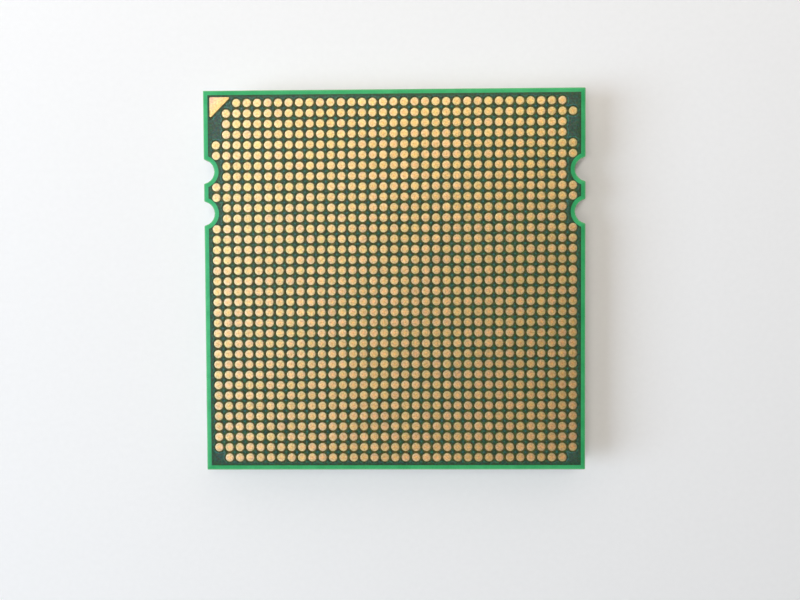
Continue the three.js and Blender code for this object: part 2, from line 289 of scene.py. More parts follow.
def marker_outline(leg, setback, grow):
    """A pin-one triangle with rounded tips, grown by a margin, anticlockwise."""
    side = HALF_SIDE - setback
    radius = MARKER_TIP_RADIUS
    slant = radius * (1 + math.sqrt(2))  # from a sharp tip to its rounding's centre, along a leg
    centres = (
        (-side + radius, side - radius, math.pi / 2, math.pi),
        (-side + radius, side - leg + slant, math.pi, 1.75 * math.pi),
        (-side + leg - slant, side - radius, -math.pi / 4, math.pi / 2),
    )
    return [p for x, y, start, end in centres for p in arc(x, y, radius + grow, start, end, 6)]


def marker_depth(x, y, leg, setback):
    """0 at a marker's square corner, 1 at its long side."""
    side = HALF_SIDE - setback
    return (x + side + side - y) / leg


def gold_nearness(x, y):
    """How much gold plate lies round a place: 1 at a land's edge, and more between two lands."""
    gaps = [distance - LAND_RADIUS for distance in distances_to_lands(x, y)]
    leg = LAND_SIDE_MARKER[0]
    depth = marker_depth(x, y, *LAND_SIDE_MARKER)
    if abs(x + y) < leg and depth > 0:
        gaps.append(abs(depth - 1) * leg / math.sqrt(2))
    return sum(math.exp(-gap / GOLD_TINT_REACH) for gap in gaps)


# ---- Material nodes ------------------------------------------------------------------------

def srgb(red, green, blue):
    """A linear colour from 8-bit display values."""
    def linear(value):
        value /= 255
        return value / 12.92 if value <= 0.04045 else ((value + 0.055) / 1.055) ** 2.4
    return linear(red), linear(green), linear(blue), 1.0


class Shader:
    """A material whose nodes are added one by one; inputs take a number, a colour or a socket."""

    def __init__(self, name, **principled):
        self.material = bpy.data.materials.new(name)
        self.material.use_nodes = True
        self.tree = self.material.node_tree
        self.surface = self.tree.nodes["Principled BSDF"]
        self.place = self.node("ShaderNodeTexCoord").outputs["Object"]
        for key, value in principled.items():
            self.feed(self.surface.inputs[key.replace("_", " ")], value)

    def feed(self, socket, value):
        if isinstance(value, bpy.types.NodeSocket):
            self.tree.links.new(value, socket)
        else:
            socket.default_value = value

    def node(self, kind, **settings):
        made = self.tree.nodes.new(kind)
        for key, value in settings.items():
            setattr(made, key, value)
        return made

    def attribute(self, name):
        return self.node("ShaderNodeAttribute", attribute_name=name).outputs["Fac"]

    def scaled(self, x, y, z):
        """The place, stretched by a factor along each axis."""
        mapping = self.node("ShaderNodeMapping")
        self.feed(mapping.inputs["Vector"], self.place)
        mapping.inputs["Scale"].default_value = (x, y, z)
        return mapping.outputs["Vector"]

    def noise(self, size, detail=2.0, roughness=0.5, place=None):
        """Noise whose features are about size millimetres across."""
        made = self.node("ShaderNodeTexNoise")
        self.feed(made.inputs["Vector"], place or self.place)
        made.inputs["Scale"].default_value = 1 / (size * MM)
        made.inputs["Detail"].default_value = detail
        made.inputs["Roughness"].default_value = roughness
        return made.outputs["Fac"]

    def ramp(self, factor, *stops):
        """A ramp through (position, value) stops; a value is a colour or a grey level."""
        made = self.node("ShaderNodeValToRGB")
        elements = made.color_ramp.elements
        while len(elements) < len(stops):
            elements.new(0.5)
        for element, (position, value) in zip(elements, stops):
            element.position = position
            element.color = value if isinstance(value, tuple) else (value, value, value, 1)
        self.feed(made.inputs["Fac"], factor)
        return made.outputs["Color"]

    def mix(self, factor, first, second, blend="MIX"):
        made = self.node("ShaderNodeMix", data_type="RGBA", blend_type=blend)
        self.feed(made.inputs["Factor"], factor)
        self.feed(made.inputs["A"], first)
        self.feed(made.inputs["B"], second)
        return made.outputs["Result"]

    def math(self, operation, first, second=0.0):
        made = self.node("ShaderNodeMath", operation=operation)
        self.feed(made.inputs[0], first)
        self.feed(made.inputs[1], second)
        return made.outputs["Value"]

    def between(self, factor, low, high):
        """A number that runs from low to high as factor runs from 0 to 1."""
        made = self.node("ShaderNodeMapRange")
        self.feed(made.inputs["Value"], factor)
        made.inputs["To Min"].default_value = low
        made.inputs["To Max"].default_value = high
        return made.outputs["Result"]

    def bump(self, height, depth):
        """Relief on the surface, depth millimetres deep where height is 1."""
        made = self.node("ShaderNodeBump")
        made.inputs["Distance"].default_value = depth * MM
        self.feed(made.inputs["Height"], height)
        self.feed(self.surface.inputs["Normal"], made.outputs["Normal"])


# ---- Materials -----------------------------------------------------------------------------

def gold_finish(shader, colour):
    """The grain and the changing tint that all the gold plate has."""
    mottle = shader.ramp(shader.noise(0.16, 3), (0.34, 0.74), (0.66, 1.14))
    colour = shader.mix(1.0, colour, mottle, "MULTIPLY")
    own_tint = shader.math("MULTIPLY", shader.attribute("land_tone"), 0.22)
    tints = shader.math("ADD", shader.noise(0.3), own_tint)
    tint = shader.ramp(tints, (0.4, srgb(253, 232, 238)), (0.85, srgb(252, 250, 208)))
    colour = shader.mix(0.8, colour, tint, "MULTIPLY")
    tone = shader.ramp(
        shader.attribute("land_tone"), (0.0, 0.92), (0.35, 1.0), (0.7, 0.89), (1.0, 0.96)
    )
    shader.feed(shader.surface.inputs["Base Color"], shader.mix(1.0, colour, tone, "MULTIPLY"))
    shader.feed(shader.surface.inputs["Roughness"], shader.between(shader.noise(0.2), 0.42, 0.58))
    shader.bump(shader.noise(0.07, 3), 0.003)


def land_material():
    """Matte gold plate, orange in a land's middle and paler towards its rim."""
    shader = Shader("land_gold", Metallic=1.0)
    middle, rim, edge = (0.85, 0.515, 0.213, 1), (0.76, 0.573, 0.335, 1), (0.65, 0.515, 0.305, 1)
    radius = shader.attribute("land_radius")
    gold_finish(shader, shader.ramp(radius, (0.15, middle), (0.72, rim), (1.0, edge)))
    return shader.material


def marker_material():
    """The triangle's plate, pale at its square corner and yellower along its long side."""
    shader = Shader("marker_gold", Metallic=1.0)
    depth = shader.attribute("marker_depth")
    corner, middle, long_side = (0.74, 0.40, 0.31, 1), (0.80, 0.54, 0.32, 1), (0.80, 0.52, 0.22, 1)
    gold_finish(shader, shader.ramp(depth, (0.1, corner), (0.45, middle), (0.9, long_side)))
    return shader.material


def copper_mask_material():
    """Solder mask over the copper plane: teal between the lands, and warm where gold is near."""
    shader = Shader("solder_mask_over_copper", Specular_IOR_Level=0.2)
    nearness = shader.attribute("gold_nearness")
    colour = shader.ramp(
        nearness,
        (0.09, srgb(70, 94, 84)),
        (0.12, srgb(82, 140, 136)),
        (0.2, srgb(56, 90, 76)),
        (0.4, srgb(66, 86, 54)),
        (0.58, srgb(108, 94, 38)),
    )
    inward = shader.math("MULTIPLY", shader.attribute("edge_distance"), 1.6)
    near_edge = shader.ramp(inward, (0.1, 1.0), (1, 0.0))
    colour = shader.mix(near_edge, colour, srgb(57, 90, 66))
    patches = shader.ramp(
        shader.noise(0.25, 3), (0.38, srgb(255, 200, 206)), (0.62, srgb(176, 246, 244))
    )
    colour = shader.mix(0.75, colour, patches, "MULTIPLY")
    hues = shader.ramp(
        shader.noise(0.19, 3), (0.38, srgb(250, 255, 176)), (0.62, srgb(228, 224, 255))
    )
    colour = shader.mix(0.6, colour, hues, "MULTIPLY")
    speckle = shader.ramp(shader.noise(0.2, 4, 0.6), (0.36, 0.45), (0.64, 1.45))
    depth = shader.ramp(nearness, (0.08, 0.5), (0.2, 0.9))
    shader.feed(shader.surface.inputs["Base Color"], shader.mix(depth, colour, speckle, "MULTIPLY"))
    shader.feed(shader.surface.inputs["Roughness"], shader.between(shader.noise(0.5), 0.28, 0.4))
    shader.bump(shader.noise(0.12, 3), 0.004)
    return shader.material


def laminate_mask_material():
    """Solder mask over bare laminate: brighter, since light comes back from the resin under it."""
    shader = Shader("solder_mask_over_laminate", Specular_IOR_Level=0.2)
    green = shader.ramp(shader.noise(1.4, 3), (0.35, srgb(50, 163, 98)), (0.65, srgb(64, 176, 110)))
    grain = shader.ramp(shader.noise(0.12, 3), (0.3, 0.9), (0.7, 1.06))
    colour = shader.mix(1.0, green, grain, "MULTIPLY")
    # Painted highlight: the mask turns pale along the board's outermost edge.
    outward = shader.math("MULTIPLY", shader.attribute("edge_distance"), -1 / COPPER_INSET)
    painted_edge_highlight = shader.ramp(outward, (0.74, 0.0), (1.0, 0.6))
    colour = shader.mix(painted_edge_highlight, colour, srgb(150, 215, 148))
    shader.feed(shader.surface.inputs["Base Color"], colour)
    shader.feed(shader.surface.inputs["Roughness"], shader.between(shader.noise(0.5), 0.3, 0.45))
    shader.bump(shader.noise(0.15, 2), 0.003)
    return shader.material


def laminate_material(name, light, dark, band_height):
    """Sawn laminate: bands of glass and resin that run along the board's edge."""
    shader = Shader(name)
    long_bands = shader.scaled(0.25, 0.25, 1)
    bands = shader.noise(band_height, 3, 0.6, long_bands)
    colour = shader.ramp(bands, (0.35, dark), (0.62, light))
    saw = shader.ramp(shader.noise(0.09, 3, 0.6, shader.scaled(1, 1, 0.15)), (0.3, 0.8), (0.7, 1.12))
    colour = shader.mix(0.8, colour, saw, "MULTIPLY")
    shader.feed(shader.surface.inputs["Base Color"], colour)
    shader.feed(shader.surface.inputs["Roughness"], shader.between(bands, 0.55, 0.8))
    shader.bump(shader.noise(0.06, 3), 0.012)
    return shader.material


def nickel_material():
    """Nickel plate on the lid: satin, with a faint rolled grain and clouding."""
    shader = Shader("nickel_plate", Metallic=1.0)
    grain = shader.noise(0.35, 4, 0.6, shader.scaled(0.04, 1, 1))
    clouds = shader.noise(9, 3)
    colour = shader.ramp(clouds, (0.3, srgb(190, 190, 186)), (0.7, srgb(206, 205, 200)))
    streaks = shader.ramp(grain, (0.3, 0.92), (0.7, 1.04))
    colour = shader.mix(1.0, colour, streaks, "MULTIPLY")
    shader.feed(shader.surface.inputs["Base Color"], colour)
    rough = shader.math("ADD", shader.between(grain, 0.24, 0.34), shader.between(clouds, -0.04, 0.06))
    shader.feed(shader.surface.inputs["Roughness"], rough)
    shader.bump(shader.math("ADD", grain, shader.noise(0.1, 3)), 0.002)
    return shader.material


def metal_material(name, light, dark, roughness, size):
    """A plain metal with a cloudy surface."""
    shader = Shader(name, Metallic=1.0)
    clouds = shader.noise(size, 3)
    shader.feed(shader.surface.inputs["Base Color"], shader.ramp(clouds, (0.3, dark), (0.7, light)))
    rough = shader.between(clouds, roughness - 0.05, roughness + 0.08)
    shader.feed(shader.surface.inputs["Roughness"], rough)
    shader.bump(shader.noise(size / 5, 3), 0.004)
    return shader.material


def dull_material(name, light, dark, roughness, size, relief=0.006):
    """A plain non-metal with a cloudy, slightly uneven surface."""
    shader = Shader(name)
    clouds = shader.noise(size, 3)
    shader.feed(shader.surface.inputs["Base Color"], shader.ramp(clouds, (0.3, dark), (0.7, light)))
    rough = shader.between(clouds, roughness - 0.05, roughness + 0.08)
    shader.feed(shader.surface.inputs["Roughness"], rough)
    shader.bump(shader.noise(size / 4, 3), relief)
    return shader.material


def paper_material():
    """White drawing paper with a faint tooth, and a painted glow that makes it give off light far
    from the object, as a studio's paper is lit up there.
    """
    shader = Shader("paper", Specular_IOR_Level=0.2, Roughness=0.85)
    tooth = shader.noise(0.6, 4, 0.6)
    colour = shader.ramp(tooth, (0.3, srgb(245, 245, 245)), (0.7, srgb(247, 247, 247)))
    shader.feed(shader.surface.inputs["Base Color"], colour)
    shader.bump(tooth, 0.006)
    # Painted glow: the paper emits light of its own, more the further it lies from the object's
    # middle.
    away = shader.node("ShaderNodeVectorMath", operation="LENGTH")
    shader.feed(away.inputs[0], shader.place)
    painted_glow = shader.ramp(away.outputs["Value"], (0.2, 0.0), (0.8, 0.75))
    shader.feed(shader.surface.inputs["Emission Color"], painted_glow)
    shader.surface.inputs["Emission Strength"].default_value = 1.0
    return shader.material


# ---- Contact lands -------------------------------------------------------------------------

# A land's domed top, from its edge to its middle: share of the radius, and depth below its crown.
LAND_DOME = (
    (1.0, 0.011),
    (0.985, 0.005),
    (0.93, 0.002),
    (0.75, 0.0006),
    (0.45, 0.0001),
)
LAND_BLOCK_ROWS = 7


def build_land_block(first_row, material, draws):
    """The separate round lands of a few rows, joined only as one named piece."""
    crown = LANDS_TOP - LAND_TILT_ROOM
    profile = [(0, BOARD_TOP), (LAND_RADIUS, BOARD_TOP)]
    profile += [(share * LAND_RADIUS, crown - depth) for share, depth in LAND_DOME]
    profile.append((0, crown))
    vertices, faces = turned_solid(profile, LAND_SEGMENTS)
    template = np.array(vertices, float)
    radius = np.hypot(template[:, 0], template[:, 1]) / LAND_RADIUS

    rows = range(first_row, first_row + LAND_BLOCK_ROWS)
    centres = [
        (column_x(column), row_y(row))
        for row in rows
        for column in range(occupied_columns(row)[0], occupied_columns(row)[1] + 1)
    ]
    all_vertices, all_faces, tones = [], [], []
    for index, (x, y) in enumerate(centres):
        lean_x, lean_y = draws.gauss(0, LAND_TILT), draws.gauss(0, LAND_TILT)
        land = template.copy()
        raised = land[:, 2] > BOARD_TOP + 0.01
        land[raised, 2] += (lean_x * land[:, 0] + lean_y * land[:, 1])[raised]
        all_vertices.append(land + (x, y, 0))
        offset = index * len(template)
        all_faces += [tuple(i + offset for i in face) for face in faces]
        tones += [draws.random()] * len(template)
    name = f"contact_lands_rows_{rows[0]:02d}_{rows[-1]:02d}"
    piece = mesh_piece(
        name, np.vstack(all_vertices), all_faces, [material], ["land_grid"]
    )
    set_attribute(piece, "land_radius", np.tile(radius, len(centres)))
    set_attribute(piece, "land_tone", tones)


def build_lands(material):
    draws = random.Random(SEED)
    for first_row in range(1, GRID_COUNT + 1, LAND_BLOCK_ROWS):
        build_land_block(first_row, material, draws)


# ---- Solder masks --------------------------------------------------------------------------

def mask_height(distance):
    """Height of the mask over the copper plane, which has a clearance round each land."""
    rise = min(max((distance - CLEARANCE_RADIUS) / CLEARANCE_SLOPE, 0), 1)
    return MASK_TOP - MASK_DIP * (1 - rise * rise * (3 - 2 * rise))


def cell_ring(share):
    """A ring round a land: its mask opening at share 0, the border of its square cell at 1."""
    points = []
    for i in range(MASK_SEGMENTS):
        angle = 2 * math.pi * i / MASK_SEGMENTS
        cosine, sine = math.cos(angle), math.sin(angle)
        border = LAND_PITCH / 2 / max(abs(cosine), abs(sine))
        radius = MASK_OPENING_RADIUS + share * (border - MASK_OPENING_RADIUS)
        points.append((radius * cosine, radius * sine))
    return points


def whole_cell(x, y):
    """Whether a land's square cell is clear of the copper's edge round the notches."""
    reach = LAND_PITCH / 2
    return all(
        over_copper(x + i * reach, y + j * reach) for i in (-1, 0, 1) for j in (-1, 0, 1)
    )


WHOLE_CELLS = [place for place in LANDS if whole_cell(*place)]
CUT_CELLS = [place for place in LANDS if not whole_cell(*place)]
WHOLE_CELL_NUMBERS = {(round(x / LAND_PITCH), round(y / LAND_PITCH)) for x, y in WHOLE_CELLS}


def in_whole_cell(x, y):
    return (round(x / LAND_PITCH), round(y / LAND_PITCH)) in WHOLE_CELL_NUMBERS


def cell_patches():
    """Top, opening wall and underside of the mask round every land whose cell is whole."""
    opening, middle, border = cell_ring(0), cell_ring(0.5), cell_ring(1)
    levels = (
        (border, lambda x, y: BOARD_TOP),
        (opening, lambda x, y: BOARD_TOP),
        (opening, lambda x, y: mask_height(0)),
        (middle, lambda x, y: mask_height(land_distance(x, y))),
        (border, lambda x, y: mask_height(land_distance(x, y))),
    )
    vertices, faces = [], []
    for centre_x, centre_y in WHOLE_CELLS:
        start = len(vertices)
        for ring, height in levels:
            places = [(centre_x + x, centre_y + y) for x, y in ring]
            vertices += [(x, y, height(x, y)) for x, y in places]
        for low in range(start, len(vertices) - MASK_SEGMENTS, MASK_SEGMENTS):
            high = low + MASK_SEGMENTS
            for i in range(MASK_SEGMENTS):
                j = (i + 1) % MASK_SEGMENTS
                faces.append((low + i, high + i, high + j, low + j))
    return vertices, faces


def cell_border_runs():
    """Sides of the whole cells that no other whole cell shares, as runs of points."""
    quarter = MASK_SEGMENTS // 4
    ring = cell_ring(1)
    runs = []
    for column, row in sorted(WHOLE_CELL_NUMBERS):
        for side, (i, j) in enumerate(((1, 0), (0, 1), (-1, 0), (0, -1))):
            if (column + i, row + j) in WHOLE_CELL_NUMBERS:
                continue
            first = side * quarter - quarter // 2
            run = [ring[(first + k) % MASK_SEGMENTS] for k in range(quarter + 1)]
            runs.append([(x + column * LAND_PITCH, y + row * LAND_PITCH) for x, y in run])
    return runs


CELL_BORDER_RUNS = cell_border_runs()
CELL_BORDER_POINTS = {(round(x, 3), round(y, 3)) for run in CELL_BORDER_RUNS for x, y in run}


def on_cell_border(*places):
    return all((round(x, 3), round(y, 3)) in CELL_BORDER_POINTS for x, y in places)


def circle(x, y, radius):
    return arc(x, y, radius, 0, 2 * math.pi, MASK_SEGMENTS)[:-1]


def triangulated(loops, runs=(), scattered=()):
    """Corners and triangles of the plane, divided along loops and runs, by way of points."""
    points, edges = list(scattered), []
    for loop in loops:
        start, count = len(points), len(loop)
        points += loop
        edges += [(start + i, start + (i + 1) % count) for i in range(count)]
    for run in runs:
        start = len(points)
        points += run
        edges += [(start + i, start + i + 1) for i in range(len(run) - 1)]
    corners, _, triangles, origins, *_ = delaunay_2d_cdt(
        [Vector(point) for point in points], edges, [], 0, 1e-5
    )
    places = [points[o[0]] if o else (v.x, v.y) for v, o in zip(corners, origins)]
    return places, [tuple(triangle) for triangle in triangles]


def inside(x, y, loop):
    """Whether a point lies inside a closed loop."""
    found = False
    for (x1, y1), (x2, y2) in zip(loop, loop[1:] + loop[:1]):
        if (y1 > y) != (y2 > y) and x < x1 + (y - y1) * (x2 - x1) / (y2 - y1):
            found = not found
    return found


def middle_of(places, triangle):
    return tuple(sum(places[i][k] for i in triangle) / 3 for k in (0, 1))


def slab(places, triangles, height, base, is_open=lambda *ends: False):
    """A plate of triangles with a face at varying height, a flat face at base, and side walls."""
    count = len(places)
    vertices = [(x, y, height(x, y)) for x, y in places] + [(x, y, base) for x, y in places]
    faces = list(triangles)
    faces += [tuple(count + i for i in reversed(triangle)) for triangle in triangles]
    sides = {(t[k], t[(k + 1) % 3]): None for t in triangles for k in range(3)}
    faces += [
        (i, count + i, count + j, j)
        for i, j in sides
        if (j, i) not in sides and not is_open(places[i], places[j])
    ]
    return vertices, faces


def point_set(loop):
    return {(round(x, 4), round(y, 4)) for x, y in loop}


def margin_points():
    """Points spread over the parts of the board that no whole cell covers."""
    step = LAND_PITCH / 4
    count = 2 * GRID_COUNT + 2
    line = [(k + 0.5) * step for k in range(-count, count)]
    reach = HALF_SIDE - COPPER_INSET
    return [
        (x, y)
        for x in line
        for y in line
        if max(abs(x), abs(y)) < reach and not in_whole_cell(x, y) and over_copper(x, y)
    ]


def margin_patch():
    """The rest of the mask: the corners, the strip round the grid, the notches and the border."""
    edge = package_outline(0)
    marker = marker_outline(*LAND_SIDE_MARKER, MARKER_CLEARANCE)
    loops = [
        edge,
        package_outline(BOARD_EDGE_ROUND),
        package_outline(COPPER_INSET - COPPER_EDGE_SLOPE),
        package_outline(COPPER_INSET),
        marker,
    ]
    for x, y in CUT_CELLS:
        loops += [circle(x, y, MASK_OPENING_RADIUS), circle(x, y, CUT_CELL_RING_RADIUS)]
    places, triangles = triangulated(loops, CELL_BORDER_RUNS, margin_points())
    edge_points, marker_points = point_set(edge), point_set(marker)
    opening = MASK_OPENING_RADIUS * math.cos(math.pi / MASK_SEGMENTS)

    def kept(x, y):
        if in_whole_cell(x, y) or land_distance(x, y) < opening:
            return False
        return inside(x, y, edge) and not inside(x, y, marker)

    def height(x, y):
        place = (round(x, 4), round(y, 4))
        if place in edge_points:
            return MASK_TOP - MASK_DIP - BOARD_EDGE_ROUND / 2
        if place in marker_points or copper_edge_distance(x, y) < -0.001:
            return MASK_TOP - MASK_DIP
        return mask_height(land_distance(x, y))

    triangles = [t for t in triangles if kept(*middle_of(places, t))]
    return slab(places, triangles, height, BOARD_TOP, on_cell_border)


def is_level(face):
    return abs(face.normal.z) > 0.7


def finish_mask(piece, facing):
    """Sets off a mask's border from its copper area, and shades its walls and hidden face flat."""
    places = [vertex.co / MM for vertex in piece.data.vertices]
    set_attribute(piece, "edge_distance", [copper_edge_distance(p.x, p.y) for p in places])
    for face in piece.data.polygons:
        x, y, _ = face.center / MM
        face.material_index = 0 if over_copper(x, y) else 1
        face.use_smooth = is_level(face) and face.normal.z * facing > 0


def build_land_side_mask(copper_mask, laminate_mask):
    cell_vertices, cell_faces = cell_patches()
    margin_vertices, margin_faces = margin_patch()
    offset = len(cell_vertices)
    margin_faces = [tuple(i + offset for i in face) for face in margin_faces]
    vertices, faces = merge_vertices(
        [*cell_vertices, *margin_vertices], [*cell_faces, *margin_faces]
    )
    piece = mesh_piece(
        "land_side_solder_mask",
        vertices,
        faces,
        [copper_mask, laminate_mask],
        ["solder_mask_land_side"],
    )
    finish_mask(piece, 1)
    set_attribute(piece, "gold_nearness", [gold_nearness(x, y) for x, y, _ in vertices])


def build_die_side_mask(copper_mask, laminate_mask):
    """The mask under the board, which shows as a margin round the lid."""
    bottom, top = height_of("solder_mask_die_side", 0), height_of("solder_mask_die_side")
    edge = package_outline(0)
    loops = [
        edge,
        package_outline(BOARD_EDGE_ROUND),
        package_outline(COPPER_INSET - COPPER_EDGE_SLOPE),
        package_outline(COPPER_INSET),
    ]
    places, triangles = triangulated(loops)
    edge_points = point_set(edge)

    def height(x, y):
        if (round(x, 4), round(y, 4)) in edge_points:
            return bottom + MASK_DIP + BOARD_EDGE_ROUND / 2
        return bottom if copper_edge_distance(x, y) > -0.001 else bottom + MASK_DIP

    triangles = [t for t in triangles if inside(*middle_of(places, t), edge)]
    vertices, faces = slab(places, triangles, height, top)
    piece = mesh_piece(
        "die_side_solder_mask",
        vertices,
        [tuple(reversed(face)) for face in faces],
        [copper_mask, laminate_mask],
        ["solder_mask_die_side"],
    )
    finish_mask(piece, -1)
    set_attribute(piece, "gold_nearness", [0.0] * len(vertices))


# ---- Pin-one markers -----------------------------------------------------------------------

def build_marker(name, shape, base, top, node, material):
    """A gold triangle with softened edges, whose outer face is at top."""
    rise = math.copysign(1, top - base)
    levels = ((0, base), (0, top - 0.008 * rise), (-0.006, top - 0.002 * rise), (-0.02, top))
    loops = [[(x, y, z) for x, y in marker_outline(*shape, grow)] for grow, z in levels]
    vertices, faces = lofted_solid(loops)
    if rise < 0:
        faces = [tuple(reversed(face)) for face in faces]
    piece = mesh_piece(name, vertices, faces, [material], [node])
    for face in (piece.data.polygons[0], piece.data.polygons[-1]):
        face.use_smooth = False
    set_attribute(piece, "marker_depth", [marker_depth(x, y, *shape) for x, y, _ in vertices])
    set_attribute(piece, "land_tone", [0.5] * len(vertices))


def build_markers(material):
    build_marker(
        "pin_one_triangle",
        LAND_SIDE_MARKER,
        BOARD_TOP,
        LANDS_TOP - 0.006,
        "pin_one_marker_land_side",
        material,
    )
    build_marker(
        "pin_one_triangle_die_side",
        DIE_SIDE_MARKER,
        height_of("pin_one_marker_die_side"),
        height_of("pin_one_marker_die_side", 0),
        "pin_one_marker_die_side",
        material,
    )


# ---- Lid and its adhesive ------------------------------------------------------------------

def rounded_square(half, radius, segments=12):
    reach = half - radius
    corners = ((reach, -reach), (reach, reach), (-reach, reach), (-reach, -reach))
    loop = []
    for quarter, (x, y) in enumerate(corners):
        start = (quarter - 1) * math.pi / 2
        loop += arc(x, y, radius, start, start + math.pi / 2, segments)
    return loop


def quarter_round(radius, steps=4):
    """Offsets along a quarter circle, from (radius, 0) to (0, radius), seen from its centre."""
    angles = [k * math.pi / 2 / steps for k in range(steps + 1)]
    return [(radius * math.cos(a), radius * math.sin(a)) for a in angles]


def lid_profile():
    """Half side, corner radius and height of the lid's section, from its cavity to its face."""
    rim = height_of("heat_spreader_lid")
    round_out = quarter_round(LID_EDGE_RADIUS)
    half, corner = LID_HALF_SIDE, LID_CORNER_RADIUS
    cavity, cavity_corner = CAVITY_SIDE / 2, CAVITY_CORNER_RADIUS
    plateau, plateau_corner = PLATEAU_SIDE / 2, PLATEAU_CORNER_RADIUS
    edge = LID_EDGE_RADIUS
    bottom, mouth = CAVITY_FLOOR_BEVEL, CAVITY_MOUTH_BEVEL
    profile = [
        (cavity - bottom, cavity_corner - bottom, rim - CAVITY_DEPTH),
        (cavity, cavity_corner, rim - CAVITY_DEPTH + bottom),
        (cavity, cavity_corner, rim - mouth),
        (cavity + mouth, cavity_corner + mouth, rim),
        (half - RIM_BEVEL, corner - RIM_BEVEL, rim),
        (half, corner, rim - RIM_BEVEL),
    ]
    for out, down in round_out:
        shrink = edge - out
        profile.append((half - shrink, corner - shrink, PLATEAU_HEIGHT + edge - down))
    for into, down in reversed(round_out):
        grown = edge - into
        profile.append((plateau + grown, plateau_corner + grown, PLATEAU_HEIGHT - edge + down))
    for out, down in round_out:
        shrink = edge - out
        profile.append((plateau - shrink, plateau_corner - shrink, edge - down))
    return profile


def build_lid(material):
    loops = [
        [(x, y, z) for x, y in rounded_square(half, corner)] for half, corner, z in lid_profile()
    ]
    vertices, faces = lofted_solid(loops)
    faces = [tuple(reversed(face)) for face in faces]
    piece = mesh_piece(
        "heat_spreader", vertices, faces, [material], ["heat_spreader_lid"]
    )
    for face in piece.data.polygons:
        face.use_smooth = abs(face.normal.z) < 0.999


# Section of the bead: share of its half width, and share of its height.
BEAD_SECTION = (
    (-0.97, 0.0),
    (-1.0, 0.25),
    (-1.0, 0.5),
    (-1.0, 0.75),
    (-0.97, 1.0),
    (0.97, 1.0),
    (1.0, 0.75),
    (1.0, 0.5),
    (1.0, 0.25),
    (0.97, 0.0),
)


def build_bead(material):
    """The silicone under the lid's rim: an uneven bead that stops either side of the vent."""
    low, high = height_of("lid_adhesive_bead", 0), height_of("lid_adhesive_bead")
    outer = LID_HALF_SIDE - BEAD_SETBACK
    middle = outer - BEAD_WIDTH / 2
    path = around_square(middle, LID_CORNER_RADIUS, VENT_WIDTH / 2, BEAD_STEPS)
    draws = random.Random(SEED)
    waves = [
        (draws.uniform(0.05, 0.9), draws.uniform(0, 6.28), draws.uniform(0.01, 0.05))
        for _ in range(BEAD_WAVES)
    ]
    sections = []
    for index, (x, y, across_x, across_y) in enumerate(path):
        along = index * 8 * middle / len(path)
        swell = sum(size * math.sin(along * rate + phase) for rate, phase, size in waves)
        end = min(index, len(path) - 1 - index) / 4
        width = (BEAD_WIDTH / 2 - BEAD_NARROWING + swell) * math.sqrt(min(1, 0.15 + end))
        section = []
        for share, rise in BEAD_SECTION:
            bulge = math.copysign(BEAD_BULGE, share) * (1 - abs(2 * rise - 1))
            offset = share * width + bulge
            height = low + rise * (high - low)
            section.append((x + offset * across_x, y + offset * across_y, height))
        sections.append(section)
    vertices, faces = lofted_solid(sections)
    mesh_piece(
        "lid_adhesive", vertices, faces, [material], ["lid_adhesive_bead"]
    )


def around_square(half, radius, gap, count):
    """Places and outward directions round a square, from one side of a gap at -Y to the other."""
    reach = half - radius
    straight, bend = 2 * reach, radius * math.pi / 2
    length = 4 * (straight + bend) - 2 * gap
    found = []
    for k in range(count):
        travelled = gap + length * k / (count - 1) + reach
        side, rest = divmod(travelled, straight + bend)
        turn = side * math.pi / 2 - math.pi / 2
        if rest <= straight:
            ahead, out, swing = rest - reach, half, 0
        else:
            swing = (rest - straight) / radius
            ahead = reach + radius * math.sin(swing)
            out = reach + radius * math.cos(swing)
        facing = turn + swing
        x = out * math.cos(turn) - ahead * math.sin(turn)
        y = out * math.sin(turn) + ahead * math.cos(turn)
        found.append((x, y, math.cos(facing), math.sin(facing)))
    return found


# ---- Capacitors under the lid --------------------------------------------------------------

def bevelled_box(low, high, bevel):
    """A closed box with softened edges between two corners."""
    def loop(inset, z):
        x0, y0, x1, y1 = low[0] + inset, low[1] + inset, high[0] - inset, high[1] - inset
        return [
            (x1, y0 + bevel, z),
            (x1, y1 - bevel, z),
            (x1 - bevel, y1, z),
            (x0 + bevel, y1, z),
            (x0, y1 - bevel, z),
            (x0, y0 + bevel, z),
            (x0 + bevel, y0, z),
            (x1 - bevel, y0, z),
        ]
    z0, z1 = low[2], high[2]
    levels = ((bevel, z0), (0, z0 + bevel), (0, z1 - bevel), (bevel, z1))
    return lofted_solid([loop(inset, z) for inset, z in levels])


def build_capacitor(node, ceramic, tin):
    """A ceramic body between two metal ends, as long as its CAD node."""
    low, high = ([value / MM for value in corner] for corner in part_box(node))
    along = 0 if high[0] - low[0] > high[1] - low[1] else 1
    body_low = [value + TERMINAL_PROUD for value in low]
    body_high = [value - TERMINAL_PROUD for value in high]
    body_low[along] += BODY_INSET
    body_high[along] -= BODY_INSET
    first_end, last_end = list(high), list(low)
    first_end[along] = low[along] + TERMINAL_LENGTH
    last_end[along] = high[along] - TERMINAL_LENGTH
    vertices, faces = [], []
    for start, end in ((body_low, body_high), (low, first_end), (last_end, high)):
        box_vertices, box_faces = bevelled_box(start, end, CAPACITOR_BEVEL)
        faces += [tuple(i + len(vertices) for i in face) for face in box_faces]
        vertices += box_vertices
    name = node.replace("decoupling", "ceramic")
    piece = mesh_piece(name, vertices, faces, [ceramic, tin], [node], smooth=False)
    body_faces = len(piece.data.polygons) // 3
    for face in piece.data.polygons[body_faces:]:
        face.material_index = 1


def build_capacitors(ceramic, tin):
    for node in sorted(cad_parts):
        if node.startswith("decoupling_capacitor"):
            build_capacitor(node, ceramic, tin)


# ---- CAD nodes that stay -------------------------------------------------------------------

def finish_nodes(materials):
    """Gives each CAD node that is still shown its material."""
    for node, material in materials.items():
        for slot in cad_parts[node].material_slots:
            slot.material = material


# ---- Stage ---------------------------------------------------------------------------------

